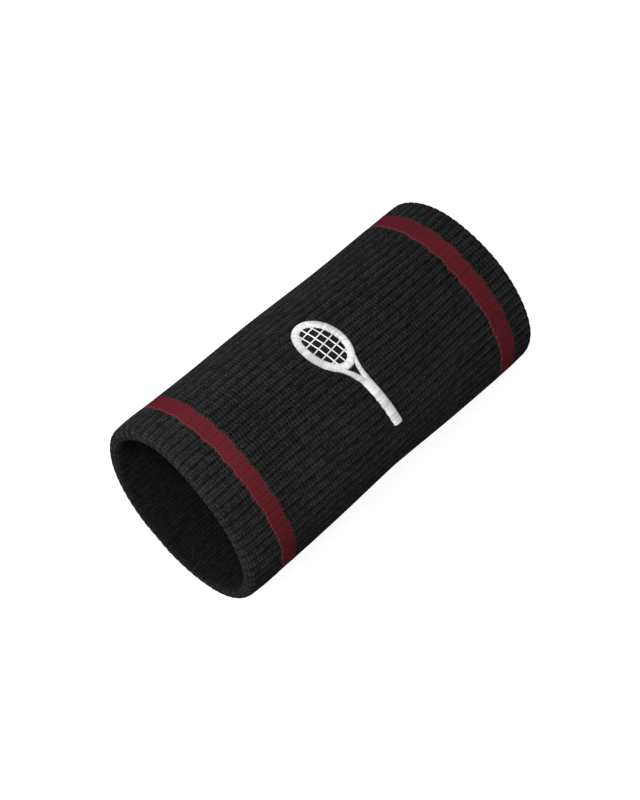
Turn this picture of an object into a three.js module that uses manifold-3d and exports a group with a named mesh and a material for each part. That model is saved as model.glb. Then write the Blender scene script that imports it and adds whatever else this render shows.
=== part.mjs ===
// A double-width sweat wristband: a rib-knitted tube folded back into itself, so that the wall has two layers.
// The outer layer shows five bands of yarn, the inner layer is closed by a linked seam halfway along,
// elastic yarns lie between the layers, and a small racket is embroidered on the top.
// Millimetres. +X runs along the tube, from the deep cuff to the shallow one, and +Z is up.
// The origin is on the surface the band lies on, under the middle of its box.
import * as THREE from 'three';
import Module from 'manifold-3d';
import { mergeVertices } from 'three/addons/utils/BufferGeometryUtils.js';

const wasm = await Module();
wasm.setup();

// The whole band
const bandLength = 122;
const bandWidth = 59.2;
const bandHeight = 44.8;
const restFlatDepth = 0.35;
const clearance = 0.3;
const roundSegments = 72;

// The layers of the wall, from outside to inside
const outerKnitThickness = 1.3;
const backingThickness = 0.3;
const elasticDiameter = 0.5;
const liningThickness = 1.2;

// The bands of the outer layer, each measured along the tube
const deepCuffLength = 13.6;
const deepStripeWidth = 4.7;
const shallowStripeWidth = 5.5;
const shallowCuffLength = 9.0;
const cuffReturnLength = 7.6;

// The seam that closes the inner layer
const seamWidth = 2.4;
const seamRidgeHeight = 0.5;
const seamRidgeWidth = 1.6;

// The elastic yarns between the layers
const cuffElasticPitch = 3.0;
const bodyElasticPitch = 11.0;
const elasticSteps = 30;
const elasticSides = 5;

// The embroidered racket: its length runs round the tube, its width along it
const racketTilt = THREE.MathUtils.degToRad(8);
const threadHeight = 0.6;
const hoopLength = 19.6;
const hoopWidth = 13.6;
const hoopBand = 2.2;
const stringWidth = 0.5;
const stringHeight = 0.3;
const longStrings = 3;
const crossStrings = 5;
const throatLength = 4.6;
const throatSpread = 7.0;
const throatNotch = 2.4;
const handleLength = 16.4;
const handleWidth = 3.0;
const backingMargin = 2.5;

// What follows from those sizes
const halfWidth = bandWidth / 2;
const halfHeight = bandHeight / 2;
const centreHeight = halfHeight - restFlatDepth;
const backingDepth = outerKnitThickness + clearance;
const elasticDepth = backingDepth + backingThickness + clearance + elasticDiameter / 2;
const liningDepth = elasticDepth + elasticDiameter / 2 + clearance;
const wallThickness = liningDepth + liningThickness;
const racketLength = hoopLength + clearance + throatLength + clearance + handleLength;

function fabric(color, roughness) {
  return new THREE.MeshStandardMaterial({ color, roughness, metalness: 0 });
}

const blackRib = fabric(0x232325, 0.92);
const redRib = fabric(0x5e1f27, 0.9);
const liningRib = fabric(0x17171a, 0.95);
const seamThread = fabric(0x1b1b1d, 0.85);
const coveredElastic = fabric(0x2c2c30, 0.7);
const satinThread = fabric(0xdadada, 0.45);
const backingFelt = fabric(0x3a3a3c, 0.95);

// Turns a direction round the tube and a depth below its outer surface into height and width.
// Angle 0 points up and a quarter turn points to +Y. The underside is pressed flat where the band rests.
function sectionPoint(angle, depth) {
  const y = (halfWidth - depth) * Math.sin(angle);
  const z = (halfHeight - depth) * Math.cos(angle);
  return { y, z: Math.max(z, depth - centreHeight) + centreHeight };
}

// The direction whose distance along the outer surface from the top is the given arc
function angleAtArc(arc) {
  const steps = 200;
  let angle = 0;
  for (let i = 0; i < steps; i++) {
    const speed = Math.hypot(halfWidth * Math.cos(angle), halfHeight * Math.sin(angle));
    angle += arc / steps / speed;
  }
  return angle;
}

function moveVertices(geometry, place) {
  const position = geometry.getAttribute('position');
  for (let i = 0; i < position.count; i++) {
    const moved = place(position.getX(i), position.getY(i), position.getZ(i));
    position.setXYZ(i, moved.x, moved.y, moved.z);
  }
  geometry.computeVertexNormals();
  return geometry;
}

// A knitted ring round the tube. Its profile is a list of [along, depth] points,
// where along is measured from the deep cuff's rim.
function ringRoundTube(profile) {
  const points = profile.map(([along, depth]) => new THREE.Vector2(halfWidth - depth, along));
  points.push(points[0].clone());
  const ring = new THREE.LatheGeometry(points, roundSegments);
  return moveVertices(ring, (x, along, z) => {
    const angle = Math.atan2(x, z);
    const depth = halfWidth - Math.hypot(x, z);
    const section = sectionPoint(angle, depth);
    return { x: along - bandLength / 2, y: section.y, z: section.z };
  });
}

function sleeve(start, end, depth, thickness) {
  return ringRoundTube([
    [start, depth],
    [start, depth + thickness],
    [end, depth + thickness],
    [end, depth],
  ]);
}

// Half a circle in the profile, from its outer end to its inner end, round the rim's side
function rimArc(centreAlong, centreDepth, radius, steps) {
  const arc = [];
  for (let i = 0; i <= steps; i++) {
    const turn = (Math.PI * i) / steps;
    arc.push([centreAlong - radius * Math.sin(turn), centreDepth - radius * Math.cos(turn)]);
  }
  return arc;
}

// A cuff is the fold of the tube: outer wall, rolled rim and the return inside, in one piece
function foldedCuff(cuffLength) {
  const rimRadius = wallThickness / 2;
  const pocketRadius = (liningDepth - outerKnitThickness) / 2;
  const outside = rimArc(rimRadius, rimRadius, rimRadius, 8);
  const inside = rimArc(rimRadius, outerKnitThickness + pocketRadius, pocketRadius, 4);
  return [
    [cuffLength, 0],
    ...outside,
    [cuffReturnLength, wallThickness],
    [cuffReturnLength, liningDepth],
    ...inside.reverse(),
    [cuffLength, outerKnitThickness],
  ];
}

// The same profile seen from the other end of the band
function fromFarEnd(profile) {
  return profile.map(([along, depth]) => [bandLength - along, depth]).reverse();
}

// A covered elastic yarn wound round between the layers
function elasticYarn(start, end, pitch) {
  const turns = Math.max(1, Math.round((end - start) / pitch));
  const path = new THREE.Curve();
  path.getPoint = (t, target = new THREE.Vector3()) => {
    const section = sectionPoint(Math.PI + 2 * Math.PI * turns * t, elasticDepth);
    return target.set(start + (end - start) * t - bandLength / 2, section.y, section.z);
  };
  const steps = turns * elasticSteps;
  path.arcLengthDivisions = steps * 4;
  const outline = [];
  for (let i = 0; i < elasticSides; i++) {
    const turn = (2 * Math.PI * i) / elasticSides;
    outline.push(new THREE.Vector2(Math.cos(turn), Math.sin(turn)).multiplyScalar(elasticDiameter / 2));
  }
  return new THREE.ExtrudeGeometry(new THREE.Shape(outline), { steps, extrudePath: path });
}

// Lays a flat piece on the tube. Its x runs round the tube from the top towards -Y, its y along
// the tube from the middle, and its z is the height above the outer surface.
function layOnTube(geometry) {
  const cos = Math.cos(racketTilt);
  const sin = Math.sin(racketTilt);
  return moveVertices(geometry, (x, y, z) => {
    const section = sectionPoint(angleAtArc(y * sin - x * cos), -z);
    return { x: x * sin + y * cos, y: section.y, z: section.z };
  });
}

// The racket's parts are placed by their distance from the tip of its head
function fromTip(distance) {
  return distance - racketLength / 2;
}

function racketHoop() {
  const meanRadius = hoopLength / 2 - hoopBand / 2;
  const inner = meanRadius - hoopBand / 2;
  const outer = meanRadius + hoopBand / 2;
  const profile = [
    new THREE.Vector2(inner, clearance),
    new THREE.Vector2(outer, clearance),
    new THREE.Vector2(outer, clearance + threadHeight),
    new THREE.Vector2(inner, clearance + threadHeight),
  ];
  profile.push(profile[0].clone());
  const hoop = new THREE.LatheGeometry(profile, 48);
  return layOnTube(moveVertices(hoop, (x, height, z) => {
    const turn = Math.atan2(x, z);
    const offset = Math.hypot(x, z) - meanRadius;
    const along = (hoopLength / 2 - hoopBand / 2 + offset) * Math.cos(turn);
    const across = (hoopWidth / 2 - hoopBand / 2 + offset) * Math.sin(turn);
    return { x: fromTip(hoopLength / 2) + along, y: across, z: height };
  }));
}

// Half the length of a string at a distance from the hoop's middle, inside the hoop
function stringReach(offset, reachAcross, reachAlong) {
  return reachAlong * Math.sqrt(Math.max(0, 1 - (offset / reachAcross) ** 2));
}

function solidFrom(geometry) {
  geometry.deleteAttribute('normal');
  geometry.deleteAttribute('uv');
  const merged = mergeVertices(geometry, 1e-4);
  return new wasm.Manifold(new wasm.Mesh({
    numProp: 3,
    vertProperties: new Float32Array(merged.getAttribute('position').array),
    triVerts: new Uint32Array(merged.index.array),
  }));
}

function geometryFrom(solid) {
  const mesh = solid.getMesh();
  const geometry = new THREE.BufferGeometry();
  geometry.setAttribute('position', new THREE.BufferAttribute(mesh.vertProperties, 3));
  geometry.setIndex(new THREE.BufferAttribute(mesh.triVerts, 1));
  geometry.computeVertexNormals();
  return geometry;
}

// One string: a flat bar from the hoop's middle outwards both ways
function stringBar(length, alongRacket, offset, lift) {
  const bar = alongRacket
    ? new THREE.BoxGeometry(length, stringWidth, stringHeight, 8, 1, 1)
    : new THREE.BoxGeometry(stringWidth, length, stringHeight, 1, 2, 1);
  bar.translate(fromTip(hoopLength / 2), 0, clearance + stringHeight / 2 + lift);
  if (alongRacket) bar.translate(0, offset, 0);
  else bar.translate(offset, 0, 0);
  return solidFrom(layOnTube(bar));
}

function racketStrings() {
  const reachAlong = hoopLength / 2 - hoopBand - clearance;
  const reachAcross = hoopWidth / 2 - hoopBand - clearance;
  const weaveLift = stringHeight / 4;
  let net = null;
  const addBar = (bar) => {
    net = net ? net.add(bar) : bar;
  };
  for (let i = 0; i < longStrings; i++) {
    const offset = ((i + 1) / (longStrings + 1) - 0.5) * 2 * reachAcross;
    const edge = Math.abs(offset) + stringWidth / 2;
    addBar(stringBar(2 * stringReach(edge, reachAcross, reachAlong), true, offset, 0));
  }
  for (let i = 0; i < crossStrings; i++) {
    const offset = ((i + 1) / (crossStrings + 1) - 0.5) * 2 * reachAlong;
    const edge = Math.abs(offset) + stringWidth / 2;
    addBar(stringBar(2 * stringReach(edge, reachAlong, reachAcross), false, offset, weaveLift));
  }
  return geometryFrom(net);
}

// The throat is a short fork between the hoop and the handle
function racketThroat() {
  const start = fromTip(hoopLength + clearance);
  const end = start + throatLength;
  const hoopSag = hoopWidth / 2 - Math.sqrt((hoopWidth / 2) ** 2 - (throatSpread / 2) ** 2);
  const fork = new THREE.Shape();
  fork.moveTo(end, -handleWidth / 2);
  fork.lineTo(end, handleWidth / 2);
  fork.quadraticCurveTo(start + throatNotch, handleWidth / 2, start - hoopSag / 2, throatSpread / 2);
  fork.lineTo(start, throatSpread / 2 - handleWidth / 2);
  fork.quadraticCurveTo(start + throatNotch, 0, start, handleWidth / 2 - throatSpread / 2);
  fork.lineTo(start - hoopSag / 2, -throatSpread / 2);
  fork.quadraticCurveTo(start + throatNotch, -handleWidth / 2, end, -handleWidth / 2);
  const throat = new THREE.ExtrudeGeometry(fork, { depth: threadHeight, bevelEnabled: false, curveSegments: 6 });
  throat.translate(0, 0, clearance);
  return layOnTube(throat);
}

function racketHandle() {
  const handle = new THREE.BoxGeometry(handleLength, handleWidth, threadHeight, 12, 1, 1);
  handle.translate(fromTip(racketLength - handleLength / 2), 0, clearance + threadHeight / 2);
  return layOnTube(handle);
}

// The stabiliser behind the embroidery, between the layers
function embroideryBacking() {
  const length = racketLength + 2 * backingMargin;
  const width = hoopWidth + 2 * backingMargin;
  const sheet = new THREE.BoxGeometry(length, width, backingThickness, 24, 1, 1);
  sheet.translate(0, 0, -backingDepth - backingThickness / 2);
  return layOnTube(sheet);
}

// The seam: a linked chain whose ridge stands a little into the opening
function closingSeam() {
  const middle = bandLength / 2;
  return ringRoundTube([
    [middle - seamWidth / 2, liningDepth],
    [middle - seamWidth / 2, wallThickness - clearance],
    [middle - seamRidgeWidth / 2, wallThickness + seamRidgeHeight],
    [middle + seamRidgeWidth / 2, wallThickness + seamRidgeHeight],
    [middle + seamWidth / 2, wallThickness - clearance],
    [middle + seamWidth / 2, liningDepth],
  ]);
}

const band = new THREE.Group();

function addPiece(name, geometry, material) {
  const piece = new THREE.Mesh(geometry, material);
  piece.name = name;
  band.add(piece);
}

function addOuterLayer() {
  const deepStripeStart = deepCuffLength + clearance;
  const deepStripeEnd = deepCuffLength + deepStripeWidth;
  const shallowStripeStart = bandLength - shallowCuffLength - shallowStripeWidth;
  const shallowStripeEnd = bandLength - shallowCuffLength - clearance;
  const panelStart = deepStripeEnd + clearance;
  const panelEnd = shallowStripeStart - clearance;
  const knit = outerKnitThickness;
  addPiece('deep_cuff', ringRoundTube(foldedCuff(deepCuffLength)), blackRib);
  addPiece('deep_cuff_stripe', sleeve(deepStripeStart, deepStripeEnd, 0, knit), redRib);
  addPiece('centre_panel', sleeve(panelStart, panelEnd, 0, knit), blackRib);
  addPiece('shallow_cuff_stripe', sleeve(shallowStripeStart, shallowStripeEnd, 0, knit), redRib);
  addPiece('shallow_cuff', ringRoundTube(fromFarEnd(foldedCuff(shallowCuffLength))), blackRib);
}

function addLining() {
  const start = cuffReturnLength + clearance;
  const end = bandLength - cuffReturnLength - clearance;
  const seamStart = bandLength / 2 - seamWidth / 2 - clearance;
  const seamEnd = bandLength / 2 + seamWidth / 2 + clearance;
  addPiece('lining_deep_half', sleeve(start, seamStart, liningDepth, liningThickness), liningRib);
  addPiece('lining_shallow_half', sleeve(seamEnd, end, liningDepth, liningThickness), liningRib);
  addPiece('closing_seam', closingSeam(), seamThread);
}

function addElastics() {
  const rimRoom = wallThickness / 2 + elasticDiameter;
  const panelStart = deepCuffLength + deepStripeWidth;
  const panelEnd = bandLength - shallowCuffLength - shallowStripeWidth;
  const shallowCuffStart = bandLength - shallowCuffLength;
  const yarns = [
    ['deep_cuff_elastic', rimRoom, deepCuffLength, cuffElasticPitch],
    ['body_elastic', panelStart, panelEnd, bodyElasticPitch],
    ['shallow_cuff_elastic', shallowCuffStart, bandLength - rimRoom, cuffElasticPitch],
  ];
  for (const [name, start, end, pitch] of yarns) {
    addPiece(name, elasticYarn(start, end, pitch), coveredElastic);
  }
}

function addEmbroidery() {
  addPiece('emblem_hoop', racketHoop(), satinThread);
  addPiece('emblem_strings', racketStrings(), satinThread);
  addPiece('emblem_throat', racketThroat(), satinThread);
  addPiece('emblem_handle', racketHandle(), satinThread);
  addPiece('emblem_backing', embroideryBacking(), backingFelt);
}

addOuterLayer();
addLining();
addElastics();
addEmbroidery();

export default band;
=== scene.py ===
import math

import bmesh
import bpy
import numpy as np
from mathutils import Matrix, Vector


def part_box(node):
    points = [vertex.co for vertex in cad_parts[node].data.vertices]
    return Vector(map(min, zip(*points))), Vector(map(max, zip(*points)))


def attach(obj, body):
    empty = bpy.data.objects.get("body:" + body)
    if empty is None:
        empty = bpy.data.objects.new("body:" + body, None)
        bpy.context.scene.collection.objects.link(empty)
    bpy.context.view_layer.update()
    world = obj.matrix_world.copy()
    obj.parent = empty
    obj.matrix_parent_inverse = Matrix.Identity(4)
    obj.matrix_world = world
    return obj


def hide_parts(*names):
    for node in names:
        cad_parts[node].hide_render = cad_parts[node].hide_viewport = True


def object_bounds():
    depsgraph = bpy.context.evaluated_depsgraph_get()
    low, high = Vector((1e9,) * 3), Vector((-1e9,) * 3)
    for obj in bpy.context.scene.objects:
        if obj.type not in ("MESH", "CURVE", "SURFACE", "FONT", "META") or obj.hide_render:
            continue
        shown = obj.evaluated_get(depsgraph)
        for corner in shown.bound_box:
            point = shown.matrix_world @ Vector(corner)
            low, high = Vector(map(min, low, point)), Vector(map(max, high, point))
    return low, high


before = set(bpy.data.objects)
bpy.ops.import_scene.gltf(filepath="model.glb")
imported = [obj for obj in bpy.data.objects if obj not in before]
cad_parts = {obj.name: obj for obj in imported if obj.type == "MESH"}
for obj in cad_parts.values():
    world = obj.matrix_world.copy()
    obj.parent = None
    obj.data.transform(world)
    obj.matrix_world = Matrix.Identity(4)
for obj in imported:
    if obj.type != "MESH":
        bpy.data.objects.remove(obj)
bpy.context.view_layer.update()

# ---------------------------------------------------------------------------------------------
# Deep cuff. The band is one long tube of rib knit, black cotton and nylon yarn with elastane,
# turned back into itself so that its wall has two layers. The deep cuff is the fold at one end:
# outer wall, rolled rim and return, all in one piece. The other knitted pieces are made alike.
MM = 0.001
deep_low, deep_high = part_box("deep_cuff")
deep_stripe_low, deep_stripe_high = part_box("deep_cuff_stripe")
deep_lining_low, deep_lining_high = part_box("lining_deep_half")

REST_FLAT = 0.35 * MM
OUTER_KNIT = 1.3 * MM
LINING_KNIT = 1.2 * MM
HALF_CLEARANCE = 0.15 * MM
end_x = -deep_low.x
half_width = deep_high.y
half_height = (deep_high.z + REST_FLAT) / 2
centre_height = half_height - REST_FLAT
rim_radius = (half_width - deep_lining_high.y + LINING_KNIT) / 2
rim_path = math.pi * rim_radius
straight = 2 * (end_x - rim_radius)

# The distance round the outer surface, from the top towards -Y, for each direction
directions = np.linspace(0, 2 * math.pi, 2881)
arc_speed = np.hypot(half_width * np.cos(directions), half_height * np.sin(directions))
arc_steps = (arc_speed[1:] + arc_speed[:-1]) / 2 * np.diff(directions)
arcs = np.concatenate([[0], np.cumsum(arc_steps)])
girth = arcs[-1]


def direction_at(arc):
    """The direction round the tube at a distance from the top, whole turns included."""
    turns = np.floor(arc / girth)
    return 2 * math.pi * turns + np.interp(arc - turns * girth, arcs, directions)


def outer_path(x):
    """The distance along the folded tube, from the start of its straight outer wall."""
    return x + end_x - rim_radius


def deep_inner_path(x):
    """The same for the inner wall of the deep half, which runs back from the deep rim."""
    return -rim_path - outer_path(x)


def shallow_inner_path(x):
    """The same for the inner wall of the shallow half."""
    return straight + rim_path + outer_path(-x)


def fold(path):
    """Where a place on the folded tube is: along X, its depth, and the way its face looks."""
    end = np.where(path < straight / 2, -1.0, 1.0)
    past = np.where(end < 0, -path, path - straight)
    turn = np.clip(past / rim_radius, 0, math.pi)
    outside = np.minimum(past, 0)
    inside = np.maximum(past - rim_path, 0)
    along = end * (end_x - rim_radius + outside + rim_radius * np.sin(turn) - inside)
    depth = rim_radius * (1 - np.cos(turn))
    return along, depth, end * np.sin(turn), -np.cos(turn)


# How the soft tube differs from a true oval one: the near mouth leans back and sags, the far one
# stretches and leans out, the wall swells and dips, the ribs drift, and the emblem pulls it in
MOUTH_SLANT = 2.4 * MM
MOUTH_SAG = 1.4 * MM
MOUTH_REACH = 7 * MM
MOUTH_SKEW = 0.25 * MM
MOUTH_NARROWING = 0.45 * MM
NARROWING_REACH = 5 * MM
FAR_STRETCH = 0.85 * MM
FAR_LEAN = 2.0 * MM
SWELL = 0.2 * MM
DRIFT = 0.35 * MM
PUCKER = 0.3 * MM


def settle(along, depth, direction):
    """Where places of a true oval tube lie on the soft one. Its underside stays on the floor."""
    top = (1 + np.cos(direction)) / 2
    free = np.clip((np.cos(direction) + 0.9) / 0.5, 0, 1)
    mouth = np.exp(-(((along + end_x) / MOUTH_REACH) ** 2))
    rolled = np.exp(-(((along + end_x) / NARROWING_REACH) ** 2))
    far = np.exp(-(((along - end_x) / MOUTH_REACH) ** 2))
    lean = np.clip(along / end_x, 0, 1) ** 1.2 * np.clip(np.sin(direction), 0, 1) ** 2
    lean = lean * (1 - 0.3 * far)

    # Long shallow waves of unlike lengths, so that none is seen to repeat
    swell = 0.9 * np.sin(3 * direction + along / (21 * MM)) * np.cos(along / (17 * MM) + 0.6)
    swell = swell + 0.6 * np.sin(2 * direction - along / (34 * MM) + 1.9)
    swell = swell + 0.4 * np.sin(7 * direction + along / (9 * MM))
    drift = np.sin(along / (13 * MM) + 2 * direction) + np.sin(along / (29 * MM) + 1 + direction)

    # The outer layer sinks in a narrow trough round the emblem
    away = np.abs(emblem_distance(along, direction) - 0.7 * MM) / (0.8 * MM)
    sunk = PUCKER * np.exp(-(away**2)) * np.clip(2 - depth / MM, 0, 1)

    wider = SWELL * swell + FAR_LEAN * lean - MOUTH_NARROWING * rolled
    depth = depth + sunk - free * wider
    sag = np.clip(np.cos(direction + math.radians(50)), 0, 1) ** 4
    back = MOUTH_SLANT * top + MOUTH_SAG * sag - MOUTH_SKEW * (1 + np.sin(direction))
    along = along + back * mouth + FAR_STRETCH * far
    return along, depth, direction + DRIFT * drift / half_width


def on_tube(along, depth, direction):
    """Points of the tube, pressed flat underneath where the band rests."""
    across = (half_width - depth) * np.sin(direction)
    up = np.maximum((half_height - depth) * np.cos(direction), depth - centre_height)
    return np.stack([along, -across, up + centre_height], axis=-1)


# The emblem is a racket laid across the band, its head towards +Y. Sizes as in the CAD model.
RACKET_TILT = math.radians(8)
RACKET_LENGTH = 41.2 * MM
HOOP_LENGTH = 19.6 * MM
HOOP_WIDTH = 13.6 * MM
HANDLE_WIDTH = 3.0 * MM


def emblem_distance(along, direction):
    """The distance outside the racket's outline, of a place on the tube."""
    arc = np.interp(np.mod(direction, 2 * math.pi), directions, arcs)
    arc = np.where(arc > girth / 2, arc - girth, arc)
    length = arc * math.cos(RACKET_TILT) + along * math.sin(RACKET_TILT) + RACKET_LENGTH / 2
    width = along * math.cos(RACKET_TILT) - arc * math.sin(RACKET_TILT)
    out = np.hypot((length - HOOP_LENGTH / 2) / HOOP_LENGTH, width / HOOP_WIDTH) - 0.5
    nearest = np.clip(length, HOOP_LENGTH, RACKET_LENGTH)
    shaft = np.hypot(length - nearest, width) - HANDLE_WIDTH / 2
    return np.minimum(out * (HOOP_LENGTH + HOOP_WIDTH) / 2, shaft)


# One stitch pair, one rib wide: two wales, each with the two slanting legs of its V. The courses
# are a little coarser than the real ones, so that each stitch shows
WALES = 124
WALE = girth / WALES
COURSE = 1.14 * MM
LEG_COLUMNS = np.array((0, 0.5, 1, 1.5, 2)) * WALE
LEG_SLANT = np.array((0.75, 0.05, 0.5, 0.12, 0.75)) - 0.4
GROOVE = np.array((-0.65, -0.14, -0.32, -0.14, -0.65)) * MM
# How light the knit material draws each groove line, as painted shade: darkest between two ribs,
# nearly as dark between the two wales of a rib, lighter down the middle of each V
GROOVE_TONE = (0.0, 0.66, 0.08, 0.66, 0.0)
STRAND_EDGE = 0.18 * MM
STRAND_RISE = 0.26 * MM
WELD = 0.01 * MM


def select_only(piece):
    """Makes the piece the one that the next operator acts on."""
    bpy.ops.object.select_all(action="DESELECT")
    piece.select_set(True)
    bpy.context.view_layer.objects.active = piece


def coordinates(mesh):
    """The places of all the points of a mesh, one row each."""
    found = np.empty(len(mesh.vertices) * 3, np.float32)
    mesh.vertices.foreach_get("co", found)
    return found.reshape(-1, 3).astype(float)


def write_coordinates(mesh, places):
    mesh.vertices.foreach_set("co", places.astype(np.float32).ravel())
    mesh.update()


def write_values(mesh, name, values):
    """Stores a number with each point, for the material to read."""
    if name not in mesh.attributes:
        mesh.attributes.new(name, "FLOAT", "POINT")
    mesh.attributes[name].data.foreach_set("value", values.astype(np.float32))


def stitch_pair(course, relief):
    """One rib wide and one course long: four slanting legs, each raised to a strand."""
    bpy.ops.object.select_all(action="DESELECT")
    bpy.ops.mesh.primitive_grid_add(x_subdivisions=4, y_subdivisions=1, size=1)
    stitch = bpy.context.object
    grid = coordinates(stitch.data)
    column = np.rint((grid[:, 0] + 0.5) * 4).astype(int)
    grid[:, 1] = (grid[:, 1] + 0.5 + np.take(LEG_SLANT, column)) * course
    grid[:, 0] = np.take(LEG_COLUMNS, column)
    grid[:, 2] = np.take(GROOVE, column) * relief
    write_coordinates(stitch.data, grid)
    write_values(stitch.data, "relief", np.take(GROOVE_TONE, column))
    bpy.ops.object.mode_set(mode="EDIT")
    bpy.ops.mesh.select_all(action="SELECT")
    bpy.ops.mesh.inset(thickness=STRAND_EDGE, depth=STRAND_RISE * relief, use_individual=True)
    bpy.ops.object.mode_set(mode="OBJECT")

    # The raised strands are light, less so beside the groove between two ribs: painted shade
    tones = np.empty(len(stitch.data.vertices), np.float32)
    stitch.data.attributes["relief"].data.foreach_get("value", tones)
    raised = [v.index for v in stitch.data.vertices if v.select]
    across = coordinates(stitch.data)[:, 0]
    off_rib = np.minimum(across, 2 * WALE - across)
    tones[raised] = np.interp(off_rib[raised], (0.1 * MM, 0.5 * MM), (0.55, 1))
    write_values(stitch.data, "relief", tones)
    return stitch


def repeat(piece, count, step):
    """Copies the piece in a row, joined where the copies meet."""
    array = piece.modifiers.new("rows", "ARRAY")
    array.count = count
    array.use_relative_offset = False
    array.use_constant_offset = True
    array.constant_offset_displace = step
    array.use_merge_vertices = True
    array.merge_threshold = WELD
    select_only(piece)
    bpy.ops.object.modifier_apply(modifier=array.name)


def flat_back(first, last, rows, thickness):
    """The smooth back of the fabric, which lies inside the fold."""
    bpy.ops.object.select_all(action="DESELECT")
    bpy.ops.mesh.primitive_grid_add(x_subdivisions=2 * WALES, y_subdivisions=rows, size=1)
    back = bpy.context.object
    places = coordinates(back.data)
    places[:, 0] = (places[:, 0] + 0.5) * girth
    places[:, 1] = first + (places[:, 1] + 0.5) * (last - first)
    places[:, 2] = -thickness
    write_coordinates(back.data, places)
    write_values(back.data, "relief", np.full(len(places), 0.3))
    write_values(back.data, "tone", np.full(len(places), 0.5))
    bpy.ops.object.mode_set(mode="EDIT")
    bpy.ops.mesh.select_all(action="SELECT")
    bpy.ops.mesh.flip_normals()
    bpy.ops.object.mode_set(mode="OBJECT")
    return back


MOST_SWAY = 0.38 * MM
SWAY_FADE = 5 * MM
rib_sway = np.random.default_rng(5).uniform(-1, 1, WALES // 2) * MOST_SWAY


def sway(around, path):
    """The ribs' own uneven tension, which shows as a ragged line where the colour changes."""
    rib = around / (2 * WALE) - 0.5
    moved = np.interp(rib, np.arange(-1, WALES // 2 + 1), np.pad(rib_sway, 1, mode="wrap"))
    on_outside = np.clip(np.minimum(path, straight - path) / SWAY_FADE, 0, 1)
    return moved * on_outside


def close_ends(mesh, middle):
    """Joins the face of the fabric to its back at both ends of the piece."""
    fabric = bmesh.new()
    fabric.from_mesh(mesh)
    bmesh.ops.remove_doubles(fabric, verts=fabric.verts[:], dist=WELD)
    flat = fabric.verts.layers.float_vector["flat"]
    for early in (True, False):
        ends = [e for e in fabric.edges if e.is_boundary and (e.verts[0][flat].y < middle) == early]
        bmesh.ops.bridge_loops(fabric, edges=ends)
    bmesh.ops.recalc_face_normals(fabric, faces=fabric.faces[:])
    fabric.to_mesh(mesh)
    fabric.free()


def write_map(mesh, name, across, up):
    """Adds a UV map from the place on it of each face corner."""
    layer = mesh.uv_layers.new(name=name)
    layer.data.foreach_set("uv", np.stack([across, up], axis=-1).astype(np.float32).ravel())
    return layer


CENTIMETRE = 10 * MM
NEAR_BACK = 0.9
RIM_FLATTENING = 0.4


def chart_fabric(mesh, first, last, thickness):
    """Two maps of the flat fabric: "knit" in centimetres, and one that fills the unit square."""
    flat = np.empty(len(mesh.vertices) * 3, np.float32)
    mesh.attributes["flat"].data.foreach_get("vector", flat)
    mesh.attributes.remove(mesh.attributes["flat"])
    corners = np.empty(len(mesh.loops), np.int32)
    mesh.loops.foreach_get("vertex_index", corners)
    sizes = np.empty(len(mesh.polygons), np.int32)
    mesh.polygons.foreach_get("loop_total", sizes)
    face = np.repeat(np.arange(len(sizes)), sizes)
    starts = np.cumsum(sizes) - sizes
    around, path, lift = flat.reshape(-1, 3).astype(float)[corners].T

    # Faces over the join of the ring are drawn past its end, so that they aren't stretched
    furthest = np.maximum.reduceat(around, starts)[face]
    around = around + np.where(furthest - around > girth / 2, girth, 0)
    write_map(mesh, "knit", around / CENTIMETRE, path / CENTIMETRE)

    # The face of the fabric fills the map up to 0.86, its ends and its back lie above that
    deepest = np.minimum.reduceat(lift, starts)[face] < -NEAR_BACK * thickness
    all_deep = np.maximum.reduceat(lift, starts)[face] < -NEAR_BACK * thickness
    share = (path - first + 1.5 * COURSE) / (last - first + 3 * COURSE)
    rise = np.where(all_deep, 0.91 + 0.08 * share, 0.86 * share)
    edge_rise = 0.87 + 0.03 * (lift + thickness) / (2 * thickness)
    rise = np.where(deepest & ~all_deep, edge_rise, rise)
    chart = write_map(mesh, "OFBake", around / (girth + 2 * WALE), rise)
    chart.active_render = True


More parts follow.
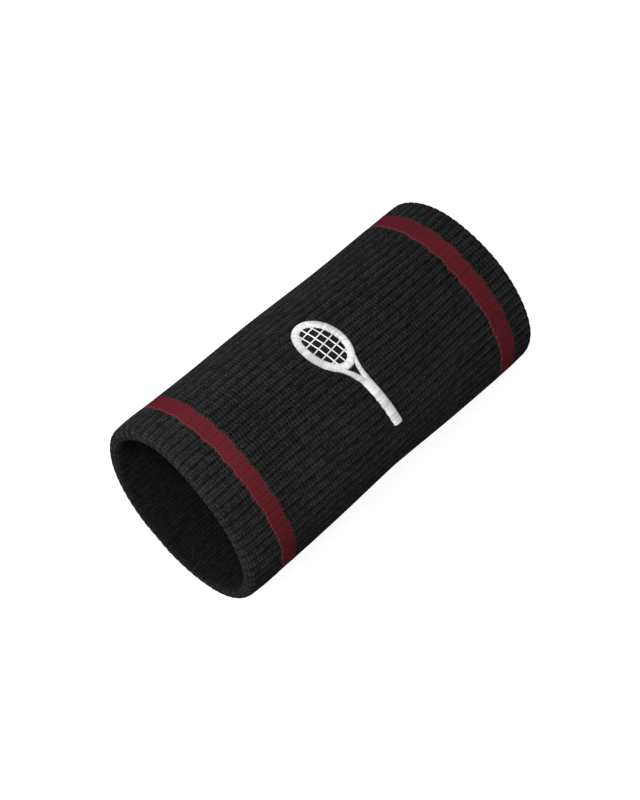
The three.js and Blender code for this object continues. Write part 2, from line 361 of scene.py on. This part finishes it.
def knitted(name, first, last, thickness, rows, relief=1.0):
    """A ring of rib knit between two distances along the folded tube. rows is the number of rows
    of faces in its smooth back, and relief how high its stitches stand."""
    courses = max(1, round((last - first) / COURSE))
    course = (last - first) / courses
    piece = stitch_pair(course, relief)
    piece.name = name
    piece.data.name = name
    repeat(piece, courses, (0, course, 0))
    repeat(piece, WALES // 2, (2 * WALE, 0, 0))

    # How far each point is from the ends, and a shade for each leg of each stitch
    flat = coordinates(piece.data)
    slant = np.interp(np.mod(flat[:, 0], 2 * WALE), LEG_COLUMNS, LEG_SLANT) * course
    to_end = np.minimum(flat[:, 1] - slant, last - first - flat[:, 1] + slant)
    write_values(piece.data, "to_end", np.maximum(to_end, 0))
    leg = np.floor(flat[:, 0] / (WALE / 2)).astype(int) % (2 * WALES)
    row = np.clip(np.floor((flat[:, 1] - slant) / course), 0, courses - 1).astype(int)
    tones = np.random.default_rng(courses).random((2 * WALES, courses))
    write_values(piece.data, "tone", tones[leg, row])

    # The face and the smooth back are one flat sheet, with each rib drawn up or down a little
    flat[:, 1] += first
    write_coordinates(piece.data, flat)
    back = flat_back(first, last, rows, thickness)
    select_only(piece)
    back.select_set(True)
    bpy.ops.object.join()
    flat = coordinates(piece.data)
    flat[:, 1] += sway(flat[:, 0], flat[:, 1])
    piece.data.attributes.new("flat", "FLOAT_VECTOR", "POINT")
    piece.data.attributes["flat"].data.foreach_set("vector", flat.astype(np.float32).ravel())

    # The sheet is wrapped round the folded tube, and its stitches are stretched flat on the rim
    along, depth, face_along, face_depth = fold(flat[:, 1])
    # inner runs from 0 outside to 1 inside the fold; the knit materials paint shade with it
    write_values(piece.data, "inner", np.clip((depth / rim_radius - 1.3) / 0.6, 0, 1))
    on_face = flat[:, 2] > -NEAR_BACK * thickness
    stretched = np.where(on_face, 1 - RIM_FLATTENING * np.abs(face_along), 1)
    along = along + face_along * flat[:, 2] * stretched
    depth = depth + face_depth * flat[:, 2] * stretched
    direction = direction_at(flat[:, 0] + girth / 2)
    write_coordinates(piece.data, on_tube(*settle(along, depth, direction)))
    close_ends(piece.data, (first + last) / 2)
    chart_fabric(piece.data, first, last, thickness)
    select_only(piece)
    bpy.ops.object.shade_smooth_by_angle(angle=math.radians(50))
    return piece


def paint(hex_colour):
    """An sRGB hex colour as the linear one that a shader takes."""
    parts = [int(hex_colour[i : i + 2], 16) / 255 for i in (1, 3, 5)]
    return [p / 12.92 if p <= 0.04045 else ((p + 0.055) / 1.055) ** 2.4 for p in parts] + [1]


def add_node(tree, kind, settings=None, links=None):
    """Adds a node. settings are its own settings and its sockets' values, links what feeds it."""
    node = tree.nodes.new(kind)
    for name, value in (settings or {}).items():
        if isinstance(name, str) and hasattr(node, name):
            setattr(node, name, value)
        else:
            node.inputs[name].default_value = paint(value) if isinstance(value, str) else value
    for name, output in (links or {}).items():
        tree.links.new(output, node.inputs[name])
    return node


def new_material(name):
    """A material with its nodes and the shader that they end in."""
    material = bpy.data.materials.new(name)
    material.use_nodes = True
    return material, material.node_tree, material.node_tree.nodes["Principled BSDF"]


# A Mix node's sockets: the factor, two numbers with their result, two colours with theirs
FACTOR = 0
NUMBER_A = 2
NUMBER_B = 3
NUMBER = 0
COLOUR_A = 6
COLOUR_B = 7
COLOUR = 2

# The fibres and the twist of the yarn are drawn coarser than the real 0.02 and 0.35 mm, which
# are too fine to show. A wave texture at scale 1 has its slanting bands WAVE_PITCH apart
FIBRE_HEATHER = 0.5 * MM
TWIST_PITCH = 1.385 * MM
WAVE_PITCH = math.pi / 5
DYE_CLOUD = 15 * MM


def rib_knit(name, groove, strand, light, edge, inner_shade):
    """Spun yarn, knitted: quite matt, with painted shade between the strands, and heathered on them.
    """
    material, tree, shader = new_material(name)
    place = add_node(tree, "ShaderNodeTexCoord").outputs["Object"]
    relief = add_node(tree, "ShaderNodeAttribute", {"attribute_name": "relief"})
    tone = add_node(tree, "ShaderNodeAttribute", {"attribute_name": "tone"})
    to_end = add_node(tree, "ShaderNodeAttribute", {"attribute_name": "to_end"})
    inside = add_node(tree, "ShaderNodeAttribute", {"attribute_name": "inner"}).outputs["Fac"]

    # Each strand has its own shade, mixed with the heather of the spun fibres
    heather = add_node(tree, "ShaderNodeTexNoise", {"Scale": 1 / FIBRE_HEATHER, "Detail": 3},
                       {"Vector": place}).outputs["Fac"]
    mixed = add_node(tree, "ShaderNodeMix", {"data_type": "FLOAT", FACTOR: 0.45},
                     {NUMBER_A: tone.outputs["Fac"], NUMBER_B: heather})
    spread = add_node(tree, "ShaderNodeMapRange", {"From Min": 0.15, "From Max": 0.85},
                      {"Value": mixed.outputs[NUMBER]})
    yarn = add_node(tree, "ShaderNodeMix", {"data_type": "RGBA", COLOUR_A: strand, COLOUR_B: light},
                    {FACTOR: spread.outputs["Result"]})

    # Painted shade: the grooves are dark, less so on the inside of the fold
    raised = add_node(tree, "ShaderNodeMapRange", {"From Min": 0.25, "From Max": 0.98},
                      {"Value": relief.outputs["Fac"]})
    groove_shade_easing = add_node(tree, "ShaderNodeMath", {"operation": "MULTIPLY", 1: 0.8}, {0: inside})
    raised = add_node(tree, "ShaderNodeMix", {"data_type": "FLOAT", NUMBER_B: 0.5},
                      {FACTOR: groove_shade_easing.outputs["Value"], NUMBER_A: raised.outputs["Result"]})
    knit = add_node(tree, "ShaderNodeMix", {"data_type": "RGBA", COLOUR_A: groove},
                    {FACTOR: raised.outputs[NUMBER], COLOUR_B: yarn.outputs[COLOUR]})

    # A thin line where the colour changes, on the outside only
    border = add_node(tree, "ShaderNodeMapRange",
                      {"From Min": 0.05 * MM, "From Max": 0.22 * MM, "To Min": 1, "To Max": 0},
                      {"Value": to_end.outputs["Fac"]})
    outside = add_node(tree, "ShaderNodeMath", {"operation": "SUBTRACT", 0: 1}, {1: inside})
    border = add_node(tree, "ShaderNodeMath", {"operation": "MULTIPLY"},
                      {0: border.outputs["Result"], 1: outside.outputs["Value"]})
    knit = add_node(tree, "ShaderNodeMix", {"data_type": "RGBA", COLOUR_B: edge},
                    {FACTOR: border.outputs["Value"], COLOUR_A: knit.outputs[COLOUR]})

    # Broad unevenness of the dye, and painted shade that darkens the inside of the fold
    broad = add_node(tree, "ShaderNodeTexNoise", {"Scale": 1 / DYE_CLOUD, "Detail": 2},
                     {"Vector": place})
    broad = add_node(tree, "ShaderNodeMapRange",
                     {"From Min": 0.3, "From Max": 0.7, "To Min": 0.93, "To Max": 1.07},
                     {"Value": broad.outputs["Fac"]})
    inside_painted_shade = add_node(tree, "ShaderNodeMapRange", {"To Min": 1, "To Max": inner_shade},
                    {"Value": inside})
    shade = add_node(tree, "ShaderNodeMath", {"operation": "MULTIPLY"},
                     {0: broad.outputs["Result"], 1: inside_painted_shade.outputs["Result"]})
    add_node(tree, "ShaderNodeMix",
             {"data_type": "RGBA", "blend_type": "MULTIPLY", "name": "dyed", FACTOR: 1},
             {COLOUR_A: knit.outputs[COLOUR], COLOUR_B: shade.outputs["Value"]})
    tree.links.new(tree.nodes["dyed"].outputs[COLOUR], shader.inputs["Base Color"])
    fuzz = add_node(tree, "ShaderNodeMapRange",
                    {"From Min": 0.3, "From Max": 0.7, "To Min": 0.78, "To Max": 0.98},
                    {"Value": heather})
    tree.links.new(fuzz.outputs["Result"], shader.inputs["Roughness"])

    # The twist of the yarn, as slanting lines on the strands. The map is in centimetres
    chart = add_node(tree, "ShaderNodeUVMap", {"uv_map": "knit"}).outputs["UV"]
    twist = add_node(tree, "ShaderNodeTexWave",
                     {"Scale": WAVE_PITCH * CENTIMETRE / TWIST_PITCH, "Distortion": 2.5, "Detail": 2,
                      "bands_direction": "DIAGONAL"}, {"Vector": chart})
    fibres = add_node(tree, "ShaderNodeMix", {"data_type": "FLOAT", FACTOR: 0.5},
                      {NUMBER_A: twist.outputs["Fac"], NUMBER_B: heather})
    bump = add_node(tree, "ShaderNodeBump", {"Strength": 0.3, "Distance": 0.08 * MM},
                    {"Height": fibres.outputs[NUMBER]})
    tree.links.new(bump.outputs["Normal"], shader.inputs["Normal"])
    shader.inputs["Specular IOR Level"].default_value = 0
    return material


def finish_piece(piece, material, slot, *nodes):
    """Gives a piece its material, hangs it on the root body, and hides the CAD nodes that it stands
    for.
    """
    piece.data.materials.clear()
    piece.data.materials.append(material)
    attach(piece, "root")
    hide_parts(*nodes)


# Black cotton and nylon rib: near black in the grooves, which is painted shade, charcoal where the
# strands catch light, and painted darker inside the fold as shade
black_rib = rib_knit("black_cotton_rib_knit", "#010101", "#1d1d1d", "#343434", "#080808", 0.65)

# The red begins half a millimetre into the cuff, with the courses that the knitter changes in
STRIPE_CREEP = 0.5 * MM
deep_edge = (deep_high.x + deep_stripe_low.x) / 2 - STRIPE_CREEP
deep_return = deep_lining_low.x - HALF_CLEARANCE
deep_cuff = knitted("deep_cuff_knit", deep_inner_path(deep_return), outer_path(deep_edge),
                    OUTER_KNIT, rows=30)
finish_piece(deep_cuff, black_rib, "black_rib_knit", "deep_cuff")

# ---------------------------------------------------------------------------------------------
# Shallow cuff: the fold at the other end of the tube, in the same black yarn and stitch. Its
# outer wall is about two thirds as wide as the deep cuff's.
shallow_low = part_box("shallow_cuff")[0]
shallow_stripe_low, shallow_stripe_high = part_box("shallow_cuff_stripe")
shallow_lining_low, shallow_lining_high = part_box("lining_shallow_half")
shallow_edge = (shallow_stripe_high.x + shallow_low.x) / 2 + STRIPE_CREEP
shallow_return = shallow_lining_high.x + HALF_CLEARANCE
shallow_cuff = knitted("shallow_cuff_knit", outer_path(shallow_edge),
                       shallow_inner_path(shallow_return), OUTER_KNIT, rows=26)
finish_piece(shallow_cuff, black_rib, "black_rib_knit", "shallow_cuff")

# ---------------------------------------------------------------------------------------------
# Stripes: courses knitted in dark red yarn, flatter than the black because the yarn is finer.
# A thin greyish line shows where the colour changes and the black yarn is carried behind.
panel_low, panel_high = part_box("centre_panel")
STRIPE_RELIEF = 0.25
# Its groove colour is painted shade too, only a little darker than its strands
red_rib = rib_knit("dark_red_rib_knit", "#4e1920", "#551c23", "#591e26", "#64393f", 1.0)
panel_start = (deep_stripe_high.x + panel_low.x) / 2
panel_end = (panel_high.x + shallow_stripe_low.x) / 2
deep_stripe = knitted("deep_stripe_knit", outer_path(deep_edge), outer_path(panel_start),
                      OUTER_KNIT, rows=4, relief=STRIPE_RELIEF)
finish_piece(deep_stripe, red_rib, "red_rib_knit", "deep_cuff_stripe")
shallow_stripe = knitted("shallow_stripe_knit", outer_path(panel_end), outer_path(shallow_edge),
                         OUTER_KNIT, rows=5, relief=STRIPE_RELIEF)
finish_piece(shallow_stripe, red_rib, "red_rib_knit", "shallow_cuff_stripe")

# ---------------------------------------------------------------------------------------------
# Centre panel: the black rib between the stripes, knitted in one run with them. It is the outer
# face that carries the emblem.
centre_panel = knitted("centre_panel_knit", outer_path(panel_start), outer_path(panel_end),
                       OUTER_KNIT, rows=6)
finish_piece(centre_panel, black_rib, "black_rib_knit", "centre_panel")

# ---------------------------------------------------------------------------------------------
# Lining: the two ends of the knitted tube, turned inside the band until they meet in the middle.
# The same rib in about the same black, with painted shade in its grooves and painted darker inside
# the tube as shade, with its face towards the wrist.
lining_rib = rib_knit("lining_rib_knit", "#050505", "#1f1f1f", "#333333", "#080808", 0.65)
lining_meet = deep_lining_high.x + HALF_CLEARANCE
deep_lining = knitted("deep_lining_knit", deep_inner_path(lining_meet),
                      deep_inner_path(deep_return), LINING_KNIT, rows=30)
finish_piece(deep_lining, lining_rib, "lining_rib_knit", "lining_deep_half")
shallow_meet = shallow_lining_low.x - HALF_CLEARANCE
shallow_lining = knitted("shallow_lining_knit", shallow_inner_path(shallow_return),
                         shallow_inner_path(shallow_meet), LINING_KNIT, rows=30)
finish_piece(shallow_lining, lining_rib, "lining_rib_knit", "lining_shallow_half")

# ---------------------------------------------------------------------------------------------
# Closing seam: the linking that joins the two ends of the tube inside the band, a band of
# overlock loops with a chain of thread along its ridge, which is not drawn. Spun polyester sewing
# thread.
seam_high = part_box("closing_seam")[1]
SEAM_THREAD = 0.26 * MM
LOOP_SINK = 0.15 * MM
LOOP_RISE = 0.45 * MM
seam_half = seam_high.x
seam_outer = half_width - seam_high.y


def threads(name, paths, radius, closed=False):
    """Round threads along rows of points, made as one mesh, each with its own shade."""
    curve = bpy.data.curves.new(name, "CURVE")
    curve.dimensions = "3D"
    curve.bevel_depth = radius
    curve.bevel_resolution = 1
    curve.use_fill_caps = True
    for path in paths:
        spline = curve.splines.new("POLY")
        spline.points.add(len(path) - 1)
        spline.points.foreach_set("co", np.column_stack([path, np.ones(len(path))]).ravel())
        spline.use_cyclic_u = closed
    piece = bpy.data.objects.new(name, curve)
    bpy.context.scene.collection.objects.link(piece)
    select_only(piece)
    bpy.ops.object.convert(target="MESH")
    shades = np.random.default_rng(len(paths)).random(len(paths))
    write_values(piece.data, "shade", np.repeat(shades, len(piece.data.vertices) // len(paths)))
    bpy.ops.object.shade_smooth_by_angle(angle=math.radians(60))
    return piece


def tube_ring(outline):
    """A closed ring round the tube, with an outline of (along, depth) points."""
    bpy.ops.object.select_all(action="DESELECT")
    bpy.ops.mesh.primitive_grid_add(x_subdivisions=2 * WALES, y_subdivisions=len(outline), size=1)
    ring = bpy.context.object
    flat = coordinates(ring.data)
    corner = np.rint((flat[:, 1] + 0.5) * len(outline)).astype(int) % len(outline)
    along, depth = np.array(outline).T
    direction = direction_at((flat[:, 0] + 0.5) * girth)
    write_coordinates(ring.data, on_tube(*settle(along[corner], depth[corner], direction)))
    bpy.ops.object.mode_set(mode="EDIT")
    bpy.ops.mesh.select_all(action="SELECT")
    bpy.ops.mesh.remove_doubles(threshold=WELD / 2)
    bpy.ops.mesh.normals_make_consistent(inside=False)
    bpy.ops.object.mode_set(mode="OBJECT")
    write_values(ring.data, "shade", np.full(len(ring.data.vertices), 0.3))
    return ring


THREAD_FIBRES = 0.25 * MM


def thread_cover(name, dark, light, roughness, sheen):
    """Thread or felt: each strand a little lighter or darker, with the grain of its fibres."""
    material, tree, shader = new_material(name)
    place = add_node(tree, "ShaderNodeTexCoord").outputs["Object"]
    shade = add_node(tree, "ShaderNodeAttribute", {"attribute_name": "shade"})
    fibres = add_node(tree, "ShaderNodeTexNoise", {"Scale": 1 / THREAD_FIBRES, "Detail": 3},
                      {"Vector": place}).outputs["Fac"]
    tone = add_node(tree, "ShaderNodeMix", {"data_type": "FLOAT", FACTOR: 0.45},
                    {NUMBER_A: shade.outputs["Fac"], NUMBER_B: fibres})
    spread = add_node(tree, "ShaderNodeMapRange", {"From Min": 0.25, "From Max": 0.75},
                      {"Value": tone.outputs[NUMBER]})
    colour = add_node(tree, "ShaderNodeMix", {"data_type": "RGBA", COLOUR_A: dark, COLOUR_B: light},
                      {FACTOR: spread.outputs["Result"]})
    tree.links.new(colour.outputs[COLOUR], shader.inputs["Base Color"])
    gloss = add_node(tree, "ShaderNodeMapRange",
                     {"From Min": 0.3, "From Max": 0.7, "To Min": roughness - 0.08,
                      "To Max": roughness + 0.1}, {"Value": fibres})
    tree.links.new(gloss.outputs["Result"], shader.inputs["Roughness"])
    bump = add_node(tree, "ShaderNodeBump", {"Strength": 0.3, "Distance": 0.04 * MM},
                    {"Height": fibres})
    tree.links.new(bump.outputs["Normal"], shader.inputs["Normal"])
    shader.inputs["Sheen Weight"].default_value = sheen
    return material


seam_band = tube_ring([(-seam_half, seam_outer), (seam_half, seam_outer),
                       (seam_half, seam_outer + LINING_KNIT),
                       (-seam_half, seam_outer + LINING_KNIT)])
loop_share = np.linspace(-1, 1, 7)
seam_paths = []
for turn in np.arange(WALES) / WALES:
    loop_along = seam_half * loop_share
    loop_depth = seam_outer + LINING_KNIT - LOOP_SINK + LOOP_RISE * (1 - loop_share**2)
    loop_direction = direction_at((turn + 0.35 * loop_share / WALES) * girth)
    seam_paths.append(on_tube(*settle(loop_along, loop_depth, loop_direction)))
closing_seam = threads("closing_seam_loops", seam_paths, SEAM_THREAD)
select_only(closing_seam)
seam_band.select_set(True)
bpy.ops.object.join()

# Black spun polyester: soft and only faintly glossy
seam_thread = thread_cover("black_polyester_thread", "#101011", "#232325", 0.55, 0.1)
finish_piece(closing_seam, seam_thread, "seam_thread", "closing_seam")

# ---------------------------------------------------------------------------------------------
# Covered elastic and backing: the elastic yarn laid inside the fold, close together in the cuffs
# and wide apart in the body, and the felt patch behind the emblem. They follow the soft wall.
CORE_DEPTH = 2.4 * MM


def settled_copy(node):
    """The CAD node's own shape, moved as the soft wall has moved round it."""
    piece = bpy.data.objects.new(node + "_settled", bpy.data.objects[node].data.copy())
    bpy.context.scene.collection.objects.link(piece)
    places = coordinates(piece.data)
    sideways = -places[:, 1] / half_width
    direction = np.arctan2(sideways, (places[:, 2] - centre_height) / half_height)
    depth = np.full(len(places), CORE_DEPTH)
    before = on_tube(places[:, 0], depth, direction)
    after = on_tube(*settle(places[:, 0], depth, direction))
    write_coordinates(piece.data, places + after - before)
    write_values(piece.data, "shade", np.full(len(places), 0.5))
    select_only(piece)
    bpy.ops.object.shade_smooth_by_angle(angle=math.radians(80))
    return piece


# Rubber core wrapped in nylon: charcoal, with a slight gloss along the wrap
covered_elastic = thread_cover("covered_elastic", "#1a1a1c", "#3a3a3e", 0.6, 0.1)
for node in ("deep_cuff_elastic", "body_elastic", "shallow_cuff_elastic"):
    finish_piece(settled_copy(node), covered_elastic, "covered_elastic", node)

# Pressed polyester felt: matt, with a soft fuzz
backing_felt = thread_cover("embroidery_backing_felt", "#2c2c2e", "#434346", 0.9, 0.2)
finish_piece(settled_copy("emblem_backing"), backing_felt, "backing_felt", "emblem_backing")

# ---------------------------------------------------------------------------------------------
# Emblem: a plain racket in off-white satin stitch, bright polyester embroidery thread. Each
# stitch is one strand, arched over the rib and drawn down into it at both ends.
HOOP_BAND = 2.2 * MM
STITCH_PITCH = 0.37 * MM
STITCH_RADIUS = 0.2 * MM
STITCH_ARCH = 0.36 * MM
STITCH_DIP = -0.25 * MM
stitch_share = (1 - np.cos(np.linspace(0, math.pi, 9))) / 2
hoop_middle = HOOP_LENGTH / 2


def on_emblem(length, width, lift):
    """Points over the band, from the racket's own length and width."""
    from_middle = length - RACKET_LENGTH / 2
    arc = from_middle * math.cos(RACKET_TILT) - width * math.sin(RACKET_TILT)
    along = from_middle * math.sin(RACKET_TILT) + width * math.cos(RACKET_TILT)
    return on_tube(*settle(along, -lift, direction_at(arc)))


def satin_stitch(start, end, arch=STITCH_ARCH):
    """One strand from start to end, each a (length, width) on the emblem."""
    length = start[0] + (end[0] - start[0]) * stitch_share
    width = start[1] + (end[1] - start[1]) * stitch_share
    lift = STITCH_DIP + (arch - STITCH_DIP) * (1 - np.abs(2 * stitch_share - 1) ** 5)
    return on_emblem(length, width, lift)


# Bright filament polyester: smooth and glossier than the yarn, greyer where the strands turn in
satin_thread = thread_cover("off_white_satin_thread", "#c2c2c1", "#e6e6e5", 0.45, 0.05)

# Hoop, stitched from its inner to its outer edge, each stitch a little ahead of the radius
HOOP_SLANT = 0.06
hoop_length_path = math.pi * (HOOP_LENGTH + HOOP_WIDTH - 2 * HOOP_BAND) / 2
hoop_count = round(hoop_length_path / STITCH_PITCH)
hoop_paths = []
for turn in np.arange(hoop_count) / hoop_count * 2 * math.pi:
    ahead = turn + HOOP_SLANT
    inner = (hoop_middle - (HOOP_LENGTH / 2 - HOOP_BAND) * math.cos(turn),
             (HOOP_WIDTH / 2 - HOOP_BAND) * math.sin(turn))
    outer = (hoop_middle - HOOP_LENGTH / 2 * math.cos(ahead), HOOP_WIDTH / 2 * math.sin(ahead))
    hoop_paths.append(satin_stitch(inner, outer))
hoop = threads("emblem_hoop_stitches", hoop_paths, STITCH_RADIUS)
finish_piece(hoop, satin_thread, "satin_thread", "emblem_hoop")

# Handle, stitched nearly straight across
HANDLE_LENGTH = 16.4 * MM
HANDLE_SLANT = 0.25 * MM
handle_paths = []
for length in np.arange(RACKET_LENGTH - HANDLE_LENGTH, RACKET_LENGTH, STITCH_PITCH):
    handle_paths.append(satin_stitch((length, -HANDLE_WIDTH / 2),
                                     (length + HANDLE_SLANT, HANDLE_WIDTH / 2)))
handle = threads("emblem_handle_stitches", handle_paths, STITCH_RADIUS)
finish_piece(handle, satin_thread, "satin_thread", "emblem_handle")

# Throat: two arms that part from the handle and meet the hoop
THROAT_START = HOOP_LENGTH + 0.3 * MM
THROAT_LENGTH = 4.6 * MM
THROAT_SPREAD = 7.0 * MM
throat_paths = []
for side in (-1, 1):
    for share in np.arange(0, 1, STITCH_PITCH / THROAT_LENGTH):
        middle = THROAT_SPREAD / 2 - HANDLE_WIDTH / 4
        centre = HANDLE_WIDTH / 4 + (middle - HANDLE_WIDTH / 4) * (1 - share) ** 1.8
        length = THROAT_START - 1.2 * MM * (1 - share) ** 1.5 + (THROAT_LENGTH + 0.3 * MM) * share
        half = HANDLE_WIDTH / 4 + 0.1 * MM
        lean = 0.45 * MM * (1 - share)
        throat_paths.append(satin_stitch((length + lean, side * (centre - half)),
                                         (length - lean, side * (centre + half))))
throat = threads("emblem_throat_stitches", throat_paths, STITCH_RADIUS)
finish_piece(throat, satin_thread, "satin_thread", "emblem_throat")

# Strings: running stitches, three along the racket and five across it, tucked under the hoop
STRING_SPACING_ALONG = 2.35 * MM
STRING_SPACING_ACROSS = 2.7 * MM
STRING_TUCK = 0.2 * MM
STRING_WAVE = 0.05 * MM
STRING_LIFT = 0.12 * MM
CROSSING_LIFT = 0.22 * MM
string_reach_along = HOOP_LENGTH / 2 - HOOP_BAND + STRING_TUCK
string_reach_across = HOOP_WIDTH / 2 - HOOP_BAND + STRING_TUCK
string_share = np.linspace(-1, 1, 25)
string_paths = []
for row in (-1, 0, 1):
    width = row * STRING_SPACING_ALONG
    reach = string_reach_along * math.sqrt(1 - (width / string_reach_across) ** 2)
    lift = STRING_LIFT + STRING_WAVE * np.cos(12 * string_share)
    string_paths.append(on_emblem(hoop_middle + reach * string_share, width + 0 * lift, lift))
for row in (-2, -1, 0, 1, 2):
    length = row * STRING_SPACING_ACROSS
    reach = string_reach_across * math.sqrt(1 - (length / string_reach_along) ** 2)
    lift = CROSSING_LIFT + STRING_WAVE * np.cos(12 * string_share + row)
    string_paths.append(on_emblem(hoop_middle + length + 0 * lift, reach * string_share, lift))
strings = threads("emblem_string_stitches", string_paths, STITCH_RADIUS)
finish_piece(strings, satin_thread, "satin_thread", "emblem_strings")

# ---------------------------------------------------------------------------------------------
# Studio: a sheet of opal acrylic that glows from below, as on a light table, a white room that is
# brightest over the +Y side, and one large soft lamp over the near end.
FLOOR_GAP = 0.05 * MM
FLOOR_WIDTH = 6000 * MM
floor_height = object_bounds()[0][2] - FLOOR_GAP
bpy.ops.object.select_all(action="DESELECT")
bpy.ops.mesh.primitive_plane_add(size=FLOOR_WIDTH, location=(0, 0, floor_height))
floor = bpy.context.object
floor.name = "floor"

# Cast opal acrylic: milky, almost even, with a dull surface and the light coming through it
opal_acrylic, tree, shader = new_material("opal_acrylic")
place = add_node(tree, "ShaderNodeTexCoord").outputs["Object"]
grain = add_node(tree, "ShaderNodeTexNoise", {"Scale": 2.5}, {"Vector": place})
milky = add_node(tree, "ShaderNodeMix",
                 {"data_type": "RGBA", COLOUR_A: "#8a8a8a", COLOUR_B: "#8e8e8e"},
                 {FACTOR: grain.outputs["Fac"]})
tree.links.new(milky.outputs[COLOUR], shader.inputs["Base Color"])
shader.inputs["Roughness"].default_value = 0.9
shader.inputs["Emission Color"].default_value = (1, 1, 1, 1)
shader.inputs["Emission Strength"].default_value = 0.88
floor.data.materials.append(opal_acrylic)

# The room, by the direction its light comes from
room = bpy.data.worlds.new("white_room")
bpy.context.scene.world = room
room.use_nodes = True
tree = room.node_tree
facing = add_node(tree, "ShaderNodeTexCoord").outputs["Generated"]
bright_side = add_node(tree, "ShaderNodeVectorMath",
                       {"operation": "DOT_PRODUCT", 1: (-0.35, 0.35, 0.87)}, {0: facing})
brightness = add_node(tree, "ShaderNodeMapRange", {"To Min": 0.02, "To Max": 0.7},
                      {"Value": bright_side.outputs["Value"]})
tree.links.new(brightness.outputs["Result"], tree.nodes["Background"].inputs["Strength"])
tree.nodes["Background"].inputs["Color"].default_value = (1, 1, 1, 1)

LAMP_WIDTH = 250 * MM
LAMP_POWER = 1.45
lamp = bpy.data.lights.new("soft_lamp", "AREA")
lamp.size = LAMP_WIDTH
lamp.energy = LAMP_POWER
lamp_object = bpy.data.objects.new("soft_lamp", lamp)
bpy.context.scene.collection.objects.link(lamp_object)
lamp_place = Vector((-0.2, 0.1, 0.31))
lamp_object.location = lamp_place
lamp_object.rotation_euler = (-lamp_place).to_track_quat("-Z", "Y").to_euler()

# Camera: over the near end, looking down along the band, and rolled
VIEW_TILT = math.radians(27.37)
VIEW_ROLL = math.radians(40.5)
VIEW_DISTANCE = 444.8 * MM
LENS_LENGTH = 68.43
SHIFT_RIGHT = -0.0071
SHIFT_UP = -0.0098
sideways = Vector((0, -1, 0))
forwards = Vector((math.cos(VIEW_TILT), 0, math.sin(VIEW_TILT)))
right = forwards * math.cos(VIEW_ROLL) + sideways * math.sin(VIEW_ROLL)
up = forwards * math.sin(VIEW_ROLL) - sideways * math.cos(VIEW_ROLL)
towards = right.cross(up)
lens = bpy.data.cameras.new("camera")
lens.lens = LENS_LENGTH
lens.shift_x = SHIFT_RIGHT
lens.shift_y = SHIFT_UP
lens.clip_start = 20 * MM
camera = bpy.data.objects.new("camera", lens)
bpy.context.scene.collection.objects.link(camera)
centre = Vector((0, 0, centre_height)) + towards * VIEW_DISTANCE
turned = Matrix((right, up, towards)).transposed().to_4x4()
camera.matrix_world = Matrix.Translation(centre) @ turned
bpy.context.scene.camera = camera
bpy.context.scene.view_settings.view_transform = "Standard"
